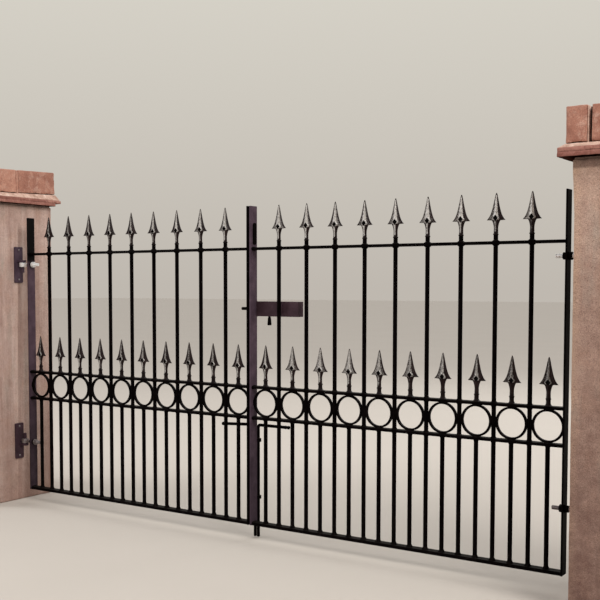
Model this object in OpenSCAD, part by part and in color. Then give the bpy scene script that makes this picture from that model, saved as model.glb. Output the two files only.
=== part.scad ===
// Wrought iron driveway gates: a closed pair of spear-topped leaves with a
// ring band, hung between two rendered masonry piers.
// +X runs along the gates, +Y points in from the road, +Z is up.
// The origin is on the ground, midway between the piers.

/* [Leaves] */
// Diameter of the round upright bars
bar_d = 15; // [10:0.5:16]
// Outside diameter of the rings, which is also the clear space between bars
ring_od = 107; // [100:1:120]
// Radial thickness of a ring
ring_t = 7; // [5:0.5:9]
// Depth of a ring, front to back
ring_depth = 12; // [8:1:16]
// Number of tall bars in one leaf
n_tall = 9; // [5:1:9]
// Space between the two meeting stiles
leaf_gap = 5.8; // [5.4:0.2:12]
// Thickness of the flat bar hinge stiles, along the gates
stile_t = 6; // [6:1:12]
// Thickness of the flat bar meeting stiles, along the gates
meet_t = 8; // [6:1:12]
// Depth of the flat bar stiles, front to back
stile_depth = 40; // [30:1:45]
// Thickness of the top and band rails
rail_t = 10; // [6:1:12]
// Depth of the top and band rails
rail_depth = 30; // [26:1:35]
// Thickness of the bottom rail
bottom_t = 12; // [8:1:14]
// Depth of the bottom rail
bottom_depth = 32; // [26:1:40]
// Height of the bottom rail's centre over the ground
bottom_z = 62; // [50:1:80]
// Height of the lower band rail over the bottom rail
band_low = 404.5; // [380:0.5:420]
// Height of the top rail over the bottom rail
top_rail = 1044; // [1000:1:1060]
// Height of the stile tops over the bottom rail
stile_top = 1204; // [1190:1:1220]
// Distance of the leaves behind the centre of the piers
gate_y = 15; // [0:1:30]

/* [Finials] */
// Height of a finial's tip over the rail that it stands on
finial_h = 160; // [150:1:165]
// Width across the barbs
finial_w = 64; // [50:1:70]
// Thickness of the spear head at its middle
finial_t = 16; // [10:1:20]

/* [Hinges] */
// Height of the upper eye bolts over the bottom rail
hinge_high = 998; // [950:1:1010]
// Height of the lower eye bolts over the bottom rail
hinge_low = 206; // [180:1:260]
// Diameter of the hinge pins and of the eye bolts' shanks
pin_d = 14; // [12:1:16]
// Distance of the pin's axis from the left pier's face
pin_off = 27; // [27:1:40]

/* [Bolts] */
// Height of the slide bolt over the bottom rail
latch_z = 818; // [700:1:900]
// Diameter of the slide bolt
latch_d = 12; // [10:0.5:14]
// Diameter of the two drop bolts
drop_d = 12; // [9:0.5:12]
// Length of the left drop bolt's handle
left_handle = 154; // [90:1:170]
// Length of the right drop bolt's handle
right_handle = 140; // [90:1:170]
// Droop of the left handle, in degrees
handle_droop = 3; // [0:0.5:5]

/* [Piers] */
// Width of the opening, as the tile courses and the left pier give it
opening = 2600; // [2590:1:2620]
// How far the right pier's inner face stands back from it
right_set = 10; // [0:1:15]
// Side of the rendered pier, which is square
pier_w = 420; // [380:1:450]
// Height of the rendered pier
pier_h = 1332; // [1280:1:1400]
// Overhang of the tile course beyond the render
tile_over = 33; // [15:1:45]
// Thickness of the tile course
tile_t = 28; // [15:1:40]
// Height of the sloped mortar fillet over the tiles
fillet_h = 16; // [10:1:30]
// Side of the brick coping
coping_w = 440; // [400:1:470]
// Height of the brick-on-edge coping
coping_h = 102.5; // [90:0.5:112]
// Backward rise of the left coping, which has settled, in degrees
left_lean = 2; // [0:0.5:3]
// How far the left coping sits back of the pier's middle
left_back = 8; // [0:1:12]
// How far the right coping sits towards the opening
right_in = 6; // [0:1:10]

/* [Hidden] */
$fn = 48;

iron = [0.10, 0.09, 0.10];
zinc = [0.72, 0.72, 0.74];
render_c = [0.72, 0.61, 0.55];
brick_c = [0.72, 0.41, 0.31];
tile_c = [0.65, 0.41, 0.36];

// Positions along the right leaf; the left one is its mirror image
pitch = ring_od + bar_d;
x_in = leaf_gap / 2 + meet_t;                  // inner face of the meeting stile
x_out = x_in + ring_od * (n_tall + 1) + bar_d * n_tall;  // inner face of the hinge stile
ring_x = [for (k = [0 : n_tall]) x_in + ring_od / 2 + k * pitch];
tall_x = [for (k = [0 : n_tall - 1]) x_in + ring_od + bar_d / 2 + k * pitch];
band_up = band_low + ring_od + rail_t;         // the rings fill the space between the band rails
pin_x = opening / 2 - pin_off;
stub_h = 25;                                   // plain bar between a rail's centre and the finial
back_y = stile_depth / 2;                      // rear edge of the stiles, from the gate's plane
rod_y = back_y + 5 + latch_d / 2;              // bolts run just behind the stiles
drop_x = 1.5 + drop_d / 2;                     // drop bolts stand side by side
drop_top = 373.5;                              // height of the handles over the bottom rail
latch_len_out = 69;                            // slide bolt's reach over the centre line
latch_stroke = 84;
knob_x = 60;
lean_drop = 3;                                 // how far the settled coping's front edge has sunk

// Right-hand pieces are drawn at +X; side(-1) mirrors them to the left
module side(s) {
  if (s > 0) children();
  else mirror([1, 0, 0]) children();
}

// Puts pieces at the gate's plane, with z = 0 at the bottom rail's centre
module at_gate() translate([0, gate_y, bottom_z]) children();

// ---------- piers ----------
function face(s) = opening / 2 + (s > 0 ? right_set : 0);   // a pier's inner face
module pier_body(s)
  color(render_c)
    side(s) translate([face(s), -pier_w / 2, 0]) cube([opening / 2 + pier_w - face(s), pier_w, pier_h]);

// Tile course with a sloped mortar fillet up to the coping
module tile_course(s, lean) {
  w = pier_w + 2 * tile_over;
  c = coping_w;
  cx = opening / 2 + pier_w / 2;
  front = tile_t + fillet_h - (lean > 0 ? lean_drop : 0);
  back = front + c * tan(lean);
  dx = s > 0 ? -right_in : 0;
  dy = s > 0 ? 0 : left_back;
  color(tile_c)
    side(s) translate([cx, 0, pier_h])
      union() {
        translate([-w / 2, -w / 2, 0]) cube([w, w, tile_t]);
        intersection() {
          rotate([90, 0, 0]) linear_extrude(height = w, center = true)
            polygon([[-w / 2, tile_t], [w / 2, tile_t], [dx + c / 2, back], [dx - c / 2, back]]);
          rotate([90, 0, 90]) linear_extrude(height = w, center = true)
            polygon([[-w / 2, tile_t], [w / 2, tile_t], [dy + c / 2, back], [dy - c / 2, front]]);
        }
      }
}

module coping(s, lean)
  color(brick_c)
    side(s)
      translate([opening / 2 + pier_w / 2 - coping_w / 2 - (s > 0 ? right_in : 0), -coping_w / 2 + (s > 0 ? 0 : left_back),
                 pier_h + tile_t + fillet_h - (lean > 0 ? lean_drop : 0)])
        rotate([lean, 0, 0]) cube([coping_w, coping_w, coping_h]);

// ---------- hinges ----------
eye_h = 20;
eye_r = 15;
plate_h = 160;
plate_w = 47;
plate_t = 6;
lug_t = 10;
lug_r = 15;
pin_out = 25;                                  // how far a pin stands out of its eye
// Wall plate with a lug and a vertical pin. The upper bracket's lug is above
// the eye with its pin pointing down, the lower one's is below it with its
// pin pointing up, so that the leaf can't be lifted off. up is the pin's way,
// and y is the plate's middle.
module hinge_bracket(s, z, up, y)
  color(iron)
    side(s) at_gate() translate([0, 0, z])
      union() {
        translate([face(s) - plate_t, y - plate_w / 2, -plate_h / 2]) cube([plate_t, plate_w, plate_h]);
        mirror([0, 0, up > 0 ? 0 : 1]) {
          translate([pin_x, 0, -eye_h / 2 - 1 - lug_t]) cylinder(h = lug_t, r = lug_r);
          translate([pin_x, -lug_r, -eye_h / 2 - 1 - lug_t]) cube([face(s) - pin_x - 1, 2 * lug_r, lug_t]);
          translate([pin_x, 0, -eye_h / 2 - 2]) cylinder(h = eye_h + 2 + pin_out, d = pin_d);
        }
      }

// Eye on the pin, with a threaded shank through the stile and a nut on
// either side of it. The left leaf's shanks stand out further, with a washer
// between the stile and the inner nut.
nut_af = 22;
nut_h = 12;
shank_out = [44.5, 36.5];
washer_t = [7, 0];
module eye_bolt(s, z) {
  out = shank_out[s < 0 ? 0 : 1];
  off = washer_t[s < 0 ? 0 : 1];
  color(zinc)
    side(s) at_gate() translate([0, 0, z])
      difference() {
        union() {
          translate([pin_x, 0, -eye_h / 2]) cylinder(h = eye_h, r = eye_r);
          translate([x_out - out, 0, 0]) rotate([0, 90, 0]) cylinder(h = pin_x - x_out + out, d = pin_d);
          for (x = [x_out - off - nut_h, x_out + stile_t])
            translate([x, 0, 0]) rotate([0, 90, 0]) cylinder(h = nut_h, r = nut_af / sqrt(3), $fn = 6);
          if (off > 0)
            translate([x_out - off, 0, 0]) rotate([0, 90, 0]) cylinder(h = off, r = 12);
        }
        translate([pin_x, 0, -eye_h]) cylinder(h = 2 * eye_h, r = pin_d / 2 + 0.05);
      }
}

// ---------- one leaf ----------
module stile(x, t)
  translate([x, -stile_depth / 2, -bottom_t / 2]) cube([t, stile_depth, stile_top + bottom_t / 2]);

module hinge_stile(s)
  color(iron)
    side(s) at_gate() difference() {
      stile(x_out, stile_t);
      for (z = [hinge_low, hinge_high])
        translate([x_out - 1, 0, z]) rotate([0, 90, 0]) cylinder(h = stile_t + 2, d = pin_d);
    }

module meeting_stile(s)
  color(iron) side(s) at_gate() stile(x_in - meet_t, meet_t);

// A rail between the stiles, drilled for the tall bars, with a boss at each
// crossing if boss_r is larger than the bar
module rail(s, z, t, depth, boss_r, boss_h)
  color(iron)
    side(s) at_gate() translate([0, 0, z]) difference() {
      union() {
        translate([x_in, -depth / 2, -t / 2]) cube([x_out - x_in, depth, t]);
        if (boss_r > bar_d / 2)
          for (x = tall_x) {
            translate([x, 0, 0]) cylinder(h = boss_h, r1 = boss_r, r2 = bar_d / 2 + 1);
            translate([x, 0, -boss_h]) cylinder(h = boss_h, r1 = bar_d / 2 + 1, r2 = boss_r);
          }
      }
      for (x = tall_x)
        translate([x, 0, -20]) cylinder(h = 40, d = bar_d);
    }

module bottom_rail(s)
  color(iron)
    side(s) at_gate()
      translate([x_in, -bottom_depth / 2, -bottom_t / 2]) cube([x_out - x_in, bottom_depth, bottom_t]);

module rings(s)
  color(iron)
    side(s) at_gate()
      for (x = ring_x)
        translate([x, 0, (band_low + band_up) / 2]) rotate([90, 0, 0])
          difference() {
            cylinder(h = ring_depth, d = ring_od, center = true, $fn = 64);
            cylinder(h = ring_depth + 2, d = ring_od - 2 * ring_t, center = true, $fn = 64);
          }

module tall_bars(s)
  color(iron)
    side(s) at_gate()
      for (x = tall_x)
        translate([x, 0, bottom_t / 2]) cylinder(h = top_rail + stub_h - bottom_t / 2, d = bar_d);

module dog_bars(s)
  color(iron)
    side(s) at_gate()
      for (x = ring_x)
        translate([x, 0, bottom_t / 2]) cylinder(h = band_low - rail_t / 2 - bottom_t / 2, d = bar_d);

// Collar, flared neck and barbed spear head; z = 0 is the rail's centre
module finial_head() {
  barb = 73;
  w = finial_w / 2;
  union() {
    translate([0, 0, stub_h]) cylinder(h = 5, d = 18);
    intersection() {
      // front outline: neck, barbs with hollow flanks, sharp tip
      rotate([90, 0, 0]) linear_extrude(height = 40, center = true)
        polygon([
          [-6.5, stub_h + 4], [6.5, stub_h + 4], [7, 48], [9.4, 62], [13.5, barb - 1],
          [w - 6, barb - 3], [w, barb], [w - 8, barb + 18], [14, barb + 40], [6, barb + 62], [1.2, finial_h],
          [-1.2, finial_h], [-6, barb + 62], [-14, barb + 40], [-w + 8, barb + 18], [-w, barb], [-w + 6, barb - 3],
          [-13.5, barb - 1], [-9.4, 62], [-7, 48]]);
      // side outline: thick at the boss, thin at both ends
      rotate([90, 0, 90]) linear_extrude(height = 2 * w + 4, center = true)
        polygon([
          [-5.4, stub_h + 4], [5.4, stub_h + 4], [finial_t / 2, barb + 8], [4.5, barb + 40], [1.2, finial_h],
          [-1.2, finial_h], [-4.5, barb + 40], [-finial_t / 2, barb + 8]]);
    }
  }
}

module top_finials(s)
  color(iron)
    side(s) at_gate()
      for (x = tall_x)
        translate([x, 0, top_rail]) finial_head();

// The same head on a short stub with a flared foot
module dog_finials(s)
  color(iron)
    side(s) at_gate()
      for (x = ring_x)
        translate([x, 0, band_up]) {
          translate([0, 0, rail_t / 2]) cylinder(h = 7, r1 = 14, r2 = bar_d / 2 + 0.5);
          translate([0, 0, rail_t / 2]) cylinder(h = stub_h - rail_t / 2, d = bar_d);
          finial_head();
        }

// ---------- fastenings ----------
// Case of the slide bolt: bored along X, with a slot under it for the knob
case_y0 = 14;
case_y1 = 48;
module latch_case()
  color(iron)
    at_gate() difference() {
      translate([x_in, case_y0, latch_z - 28]) cube([191, case_y1 - case_y0, 56]);
      translate([x_in - 1, rod_y, latch_z]) rotate([0, 90, 0]) cylinder(h = 176, r = latch_d / 2 + 0.05);
      translate([knob_x - 7, rod_y - 7, latch_z - 30]) cube([latch_stroke + 14, 14, 30]);
    }

module latch_bolt()
  color(iron)
    at_gate() union() {
      translate([-latch_len_out, rod_y, latch_z]) rotate([0, 90, 0]) cylinder(h = latch_len_out + knob_x + 12, d = latch_d);
      translate([knob_x, rod_y, latch_z - 40]) cylinder(h = 40, d = 9);
      translate([knob_x, rod_y, latch_z - 62]) cylinder(h = 30, r1 = 8, r2 = 6);
    }

// Eye on the back of the left meeting stile, which the slide bolt enters
module latch_keeper()
  color(iron)
    at_gate() difference() {
      translate([-x_in, back_y, latch_z - 14]) cube([meet_t, 26, 28]);
      translate([-x_in - 1, rod_y, latch_z]) rotate([0, 90, 0]) cylinder(h = meet_t + 2, r = latch_d / 2 + 1);
    }

// Narrow plate welded to the inner face of the right meeting stile, above the top rail
module stop_plate()
  color(iron)
    at_gate() translate([x_in, -8, top_rail + 16]) cube([3, 20.5, 81]);

// A bolt bent over at the top into a handle
bend_r = 14;
module drop_bolt(s, handle, droop)
  color(iron)
    side(s) at_gate() translate([drop_x, rod_y, 0]) union() {
      translate([0, 0, -bottom_z + 3]) cylinder(h = bottom_z - 3 + drop_top - bend_r, d = drop_d);
      translate([bend_r, 0, drop_top - bend_r]) rotate([90, 0, 180])
        rotate_extrude(angle = 90) translate([bend_r, 0]) circle(d = drop_d);
      translate([bend_r, 0, drop_top]) rotate([0, 90 + droop, 0]) {
        cylinder(h = handle - bend_r, d = drop_d);
        translate([0, 0, handle - bend_r]) sphere(d = drop_d + 2);
        sphere(d = drop_d);
      }
    }

// Two guides behind each meeting stile; the two leaves' guides are staggered
module bolt_guides(s)
  color(iron)
    side(s) at_gate()
      for (z = (s > 0 ? [95, 315] : [70, 290]))
        translate([0, 0, z]) difference() {
          translate([0.3, back_y, -7]) cube([15.2, rod_y + drop_d / 2 + 2.5 - back_y, 14]);
          translate([drop_x, rod_y, -8]) cylinder(h = 16, r = drop_d / 2 + 0.05);
        }

pier_body(-1);  // left_pier
tile_course(-1, left_lean);  // left_tile_course
coping(-1, left_lean);  // left_coping
pier_body(1);  // right_pier
tile_course(1, 0);  // right_tile_course
coping(1, 0);  // right_coping
hinge_bracket(-1, hinge_high, -1, -4);  // left_upper_hinge_bracket
hinge_bracket(-1, hinge_low, 1, -13);  // left_lower_hinge_bracket
hinge_bracket(1, hinge_high, -1, -4);  // right_upper_hinge_bracket
hinge_bracket(1, hinge_low, 1, -13);  // right_lower_hinge_bracket
hinge_stile(-1);  // left_hinge_stile
meeting_stile(-1);  // left_meeting_stile
rail(-1, top_rail, rail_t, rail_depth, 12, 9);  // left_top_rail
rail(-1, band_up, rail_t, rail_depth, 0, 0);  // left_upper_band_rail
rail(-1, band_low, rail_t, rail_depth, 0, 0);  // left_lower_band_rail
bottom_rail(-1);  // left_bottom_rail
rings(-1);  // left_rings
tall_bars(-1);  // left_tall_bars
dog_bars(-1);  // left_dog_bars
top_finials(-1);  // left_top_finials
dog_finials(-1);  // left_dog_finials
eye_bolt(-1, hinge_high);  // left_upper_eye_bolt
eye_bolt(-1, hinge_low);  // left_lower_eye_bolt
bolt_guides(-1);  // left_bolt_guides
latch_keeper();
hinge_stile(1);  // right_hinge_stile
meeting_stile(1);  // right_meeting_stile
rail(1, top_rail, rail_t, rail_depth, 12, 9);  // right_top_rail
rail(1, band_up, rail_t, rail_depth, 0, 0);  // right_upper_band_rail
rail(1, band_low, rail_t, rail_depth, 0, 0);  // right_lower_band_rail
bottom_rail(1);  // right_bottom_rail
rings(1);  // right_rings
tall_bars(1);  // right_tall_bars
dog_bars(1);  // right_dog_bars
top_finials(1);  // right_top_finials
dog_finials(1);  // right_dog_finials
eye_bolt(1, hinge_high);  // right_upper_eye_bolt
eye_bolt(1, hinge_low);  // right_lower_eye_bolt
bolt_guides(1);  // right_bolt_guides
latch_case();
stop_plate();
latch_bolt();
drop_bolt(-1, left_handle, handle_droop);  // left_drop_bolt
drop_bolt(1, right_handle, 0);  // right_drop_bolt
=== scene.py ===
import math
import random

import bmesh
import bpy
from mathutils import Matrix, Vector, noise


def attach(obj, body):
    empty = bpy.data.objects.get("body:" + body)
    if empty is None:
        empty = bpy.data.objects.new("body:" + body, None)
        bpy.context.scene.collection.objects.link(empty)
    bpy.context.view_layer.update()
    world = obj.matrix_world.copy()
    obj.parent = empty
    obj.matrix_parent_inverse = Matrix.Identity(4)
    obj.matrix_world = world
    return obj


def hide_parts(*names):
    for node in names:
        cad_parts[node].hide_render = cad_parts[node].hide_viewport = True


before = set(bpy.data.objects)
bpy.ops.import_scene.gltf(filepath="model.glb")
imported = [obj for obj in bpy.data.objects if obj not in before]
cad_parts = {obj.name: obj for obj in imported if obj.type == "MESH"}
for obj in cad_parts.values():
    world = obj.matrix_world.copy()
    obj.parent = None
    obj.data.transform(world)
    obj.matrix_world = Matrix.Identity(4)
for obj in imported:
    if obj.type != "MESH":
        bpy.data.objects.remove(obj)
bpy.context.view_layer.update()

# ---------------------------------------------------------------- camera
def make_camera():
    """The photograph's view: a level camera close to eye height, right of the gates."""
    focal, px, py = 1003.07, 301.007, 342.608          # in pixels of a 600 x 600 frame
    yaw, pitch, roll = (math.radians(a) for a in (33.675, 3.175, 0.072))
    flat = Vector((-math.sin(yaw), math.cos(yaw), 0))
    side = Vector((math.cos(yaw), math.sin(yaw), 0))
    up = Vector((0, 0, 1))
    ahead = flat * math.cos(pitch) - up * math.sin(pitch)
    top = up * math.cos(pitch) + flat * math.sin(pitch)
    right = side * math.cos(roll) + top * math.sin(roll)
    top = top * math.cos(roll) - side * math.sin(roll)
    data = bpy.data.cameras.new("camera")
    data.sensor_width = 36.0
    data.lens = focal / 600 * 36.0
    data.shift_x = -(px - 300) / 600
    data.shift_y = (py - 300) / 600
    data.clip_start, data.clip_end = 0.05, 200
    cam = bpy.data.objects.new("camera", data)
    bpy.context.scene.collection.objects.link(cam)
    m = Matrix((right, top, -ahead)).transposed().to_4x4()
    m.translation = Vector((2.2597, -3.0403, 0.9628))
    cam.matrix_world = m
    bpy.context.scene.camera = cam


make_camera()

# ---------------------------------------------------------------- materials
def srgb(r, g, b):
    """Linear colour of an sRGB one given in 0-255."""
    return tuple((c / 255 / 12.92) if c <= 10 else ((c / 255 + 0.055) / 1.055) ** 2.4 for c in (r, g, b))


class Paint:
    """Short names for the shader nodes that the materials use."""

    def __init__(self, name):
        self.mat = bpy.data.materials.new(name)
        self.mat.use_nodes = True
        self.tree = self.mat.node_tree
        self.tree.nodes.clear()
        out = self.tree.nodes.new("ShaderNodeOutputMaterial")
        self.bsdf = self.tree.nodes.new("ShaderNodeBsdfPrincipled")
        self.tree.links.new(self.bsdf.outputs[0], out.inputs[0])
        self.co = self.tree.nodes.new("ShaderNodeTexCoord").outputs["Object"]

    def put(self, socket, value):
        if isinstance(value, bpy.types.NodeSocket):
            self.tree.links.new(value, socket)
        elif isinstance(value, tuple) and len(value) == 3 and socket.type == "RGBA":
            socket.default_value = (*value, 1)
        else:
            socket.default_value = value

    def scaled(self, x, y, z):
        n = self.tree.nodes.new("ShaderNodeMapping")
        self.put(n.inputs["Vector"], self.co)
        n.inputs["Scale"].default_value = (x, y, z)
        return n.outputs[0]

    def noise(self, scale, detail=2.0, rough=0.5, co=None, twist=0.0):
        n = self.tree.nodes.new("ShaderNodeTexNoise")
        self.put(n.inputs["Vector"], co or self.co)
        n.inputs["Scale"].default_value = scale
        n.inputs["Detail"].default_value = detail
        n.inputs["Roughness"].default_value = rough
        n.inputs["Distortion"].default_value = twist
        return n.outputs[0]

    def cells(self, scale, out="Distance", co=None):
        n = self.tree.nodes.new("ShaderNodeTexVoronoi")
        self.put(n.inputs["Vector"], co or self.co)
        n.inputs["Scale"].default_value = scale
        return n.outputs[out]

    def math(self, op, a, b=0.0, clamp=False):
        n = self.tree.nodes.new("ShaderNodeMath")
        n.operation, n.use_clamp = op, clamp
        self.put(n.inputs[0], a)
        self.put(n.inputs[1], b)
        return n.outputs[0]

    def span(self, value, a, b, c=0.0, d=1.0):
        """value from a..b to c..d, held at the ends."""
        n = self.tree.nodes.new("ShaderNodeMapRange")
        n.clamp = True
        self.put(n.inputs["Value"], value)
        for key, x in zip(("From Min", "From Max", "To Min", "To Max"), (a, b, c, d)):
            n.inputs[key].default_value = x
        return n.outputs[0]

    def ramp(self, value, *stops):
        n = self.tree.nodes.new("ShaderNodeValToRGB")
        self.put(n.inputs[0], value)
        e = n.color_ramp.elements
        while len(e) < len(stops):
            e.new(0.5)
        for el, (at, colour) in zip(e, stops):
            el.position, el.color = at, (*colour, 1)
        return n.outputs[0]

    def mix(self, fac, a, b, mode="MIX"):
        n = self.tree.nodes.new("ShaderNodeMix")
        n.data_type, n.blend_type = "RGBA", mode
        self.put(n.inputs[0], fac)
        self.put(n.inputs[6], a)
        self.put(n.inputs[7], b)
        return n.outputs[2]

    def bump(self, height, metres, normal=None):
        n = self.tree.nodes.new("ShaderNodeBump")
        n.inputs["Strength"].default_value = 1.0
        n.inputs["Distance"].default_value = metres
        self.put(n.inputs["Height"], height)
        if normal is not None:
            self.put(n.inputs["Normal"], normal)
        return n.outputs[0]

    def tint(self):
        n = self.tree.nodes.new("ShaderNodeAttribute")
        n.attribute_name = "tint"
        return n.outputs["Fac"]

    def axis(self, which, of="place"):
        if of == "place":
            source = self.co
        else:
            source = self.tree.nodes.new("ShaderNodeNewGeometry").outputs["Normal"]
        n = self.tree.nodes.new("ShaderNodeSeparateXYZ")
        self.put(n.inputs[0], source)
        return n.outputs[which]

    def finish(self, **values):
        names = {"colour": "Base Color", "rough": "Roughness", "metal": "Metallic", "normal": "Normal",
                 "spec": "Specular IOR Level", "coat": "Coat Weight", "coat_rough": "Coat Roughness",
                 "sheen": "Sheen Weight"}
        for key, v in values.items():
            self.put(self.bsdf.inputs[names[key]], v)
        return self.mat


def iron_material(name, shades, spec, dusty=0.16, spread=(0.30, 0.48), sheen_top=None, sheen_low=1.0):
    """Black paint brushed over iron: three shades, a little dust on what faces up, splashes low down and rust specks.
    Purple-grey shades are a painted sheen, the sky's reflection put into the paint's colour.
    The height argument after spread is where that painted sheen stops: above it the paint is black, as in shade. The
    last argument is how dark the shades get near the ground, a painted shade."""
    p = Paint(name)
    broad = p.noise(26, 4, 0.6)
    mid = p.noise(230, 3, 0.55)
    peel = p.noise(1150, 1, 0.4)
    base = p.ramp(broad, (0.32, shades[0]), (0.55, shades[1]), (0.74, shades[2]))
    # painted shade: above the given height the painted sheen gives way to near black
    if sheen_top:
        height = p.math("ADD", p.axis(2), p.math("MULTIPLY", p.noise(30, 3, 0.6), 0.02))
        base = p.mix(p.span(height, sheen_top, sheen_top + 0.012), base, (0.0026, 0.0017, 0.0018))
    # painted shade: the shades grow darker towards the ground
    if sheen_low < 1:
        n = p.tree.nodes.new("ShaderNodeVectorMath")
        n.operation = "SCALE"
        p.put(n.inputs[0], base)
        p.put(n.inputs["Scale"], p.span(p.axis(2), 0.30, 0.62, sheen_low, 1.0))
        base = n.outputs[0]
    up = p.span(p.axis(2, "normal"), 0.35, 0.95)
    dust = p.math("MULTIPLY", up, p.span(p.noise(70, 5, 0.65), 0.40, 0.66, 0.02, dusty))
    base = p.mix(dust, base, (0.085, 0.070, 0.060))
    low = p.span(p.axis(2), 0.0, 0.32, 1.0, 0.0)
    splash = p.math("MULTIPLY", low, p.span(p.noise(150, 4, 0.7), 0.54, 0.74, 0.0, 0.16))
    base = p.mix(splash, base, (0.100, 0.080, 0.066))
    rust = p.math("MULTIPLY", p.span(p.noise(105, 6, 0.68), 0.655, 0.70), p.span(p.noise(9, 2), 0.45, 0.62))
    base = p.mix(p.math("MULTIPLY", rust, 0.6), base, (0.050, 0.018, 0.009))
    rough = p.span(mid, 0.3, 0.7, *spread)
    rough = p.math("ADD", rough, p.math("MULTIPLY", p.math("ADD", dust, splash), 0.45), True)
    rough = p.math("ADD", rough, p.math("MULTIPLY", rust, 0.4), True)
    n = p.bump(p.noise(48, 3, 0.5), 0.0009)
    n = p.bump(mid, 0.00022, n)
    n = p.bump(peel, 0.00006, n)
    return p.finish(colour=base, rough=rough, normal=n, spec=spec)


def spear_material():
    """Cast spear heads: the paint is rubbed back to silver-grey metal on the raised spine, which is also a painted
    highlight, and the hollows are painted black as shade.
    """
    p = Paint("spear_cast")
    t = p.tint()
    broad = p.noise(40, 4, 0.6)
    mid = p.noise(260, 3, 0.6)
    paint = p.ramp(broad, (0.32, (0.0085, 0.0045, 0.0046)), (0.55, (0.0150, 0.0082, 0.0082)), (0.74, (0.0290, 0.0170, 0.0165)))
    metal = p.ramp(p.noise(150, 5, 0.68), (0.32, (0.27, 0.25, 0.235)), (0.50, (0.45, 0.43, 0.41)), (0.68, (0.62, 0.60, 0.58)))
    # the tint attribute carries each point's rubbed wear and painted highlight
    edge = p.math("ADD", t, p.math("MULTIPLY", p.math("SUBTRACT", mid, 0.5), 0.55))
    worn_sheen = p.span(edge, 0.42, 0.66)
    stain = p.math("MULTIPLY", worn_sheen, p.span(p.noise(95, 5, 0.7), 0.56, 0.70, 1.0, 0.42))
    base = p.mix(stain, paint, metal)
    # painted shade: very low tint (the pit floor, the knops and collars) mixes towards near black
    base = p.mix(p.span(t, 0.02, 0.13, 1.0, 0.0), base, (0.0008, 0.0006, 0.0006))
    rough = p.math("ADD", p.span(mid, 0.3, 0.7, 0.30, 0.46), p.math("MULTIPLY", worn_sheen, 0.04), True)
    n = p.bump(p.noise(75, 3, 0.55), 0.0007)
    n = p.bump(mid, 0.0003, n)
    return p.finish(colour=base, rough=rough, metal=p.math("MULTIPLY", stain, 0.35), normal=n, spec=0.07)


def zinc_material(name, tones, metal):
    """Zinc plating with spangle, stained by age."""
    p = Paint(name)
    grain = p.cells(420, "Color")
    bw = p.tree.nodes.new("ShaderNodeRGBToBW")
    p.put(bw.inputs[0], grain)
    spangle = bw.outputs[0]
    stain = p.noise(120, 5, 0.65)
    base = p.ramp(p.math("ADD", p.math("MULTIPLY", spangle, 0.35), p.math("MULTIPLY", stain, 0.65)),
                  *zip((0.30, 0.52, 0.75), tones))
    rust = p.span(p.noise(75, 6, 0.7), 0.63, 0.72, 0.0, 0.55)
    base = p.mix(rust, base, (0.24, 0.12, 0.07))
    rough = p.math("ADD", p.span(stain, 0.3, 0.7, 0.30, 0.52), p.math("MULTIPLY", rust, 0.35), True)
    n = p.bump(p.noise(900, 2), 0.00008, p.bump(stain, 0.0002))
    return p.finish(colour=base, metal=metal, rough=rough, normal=n)


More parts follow.
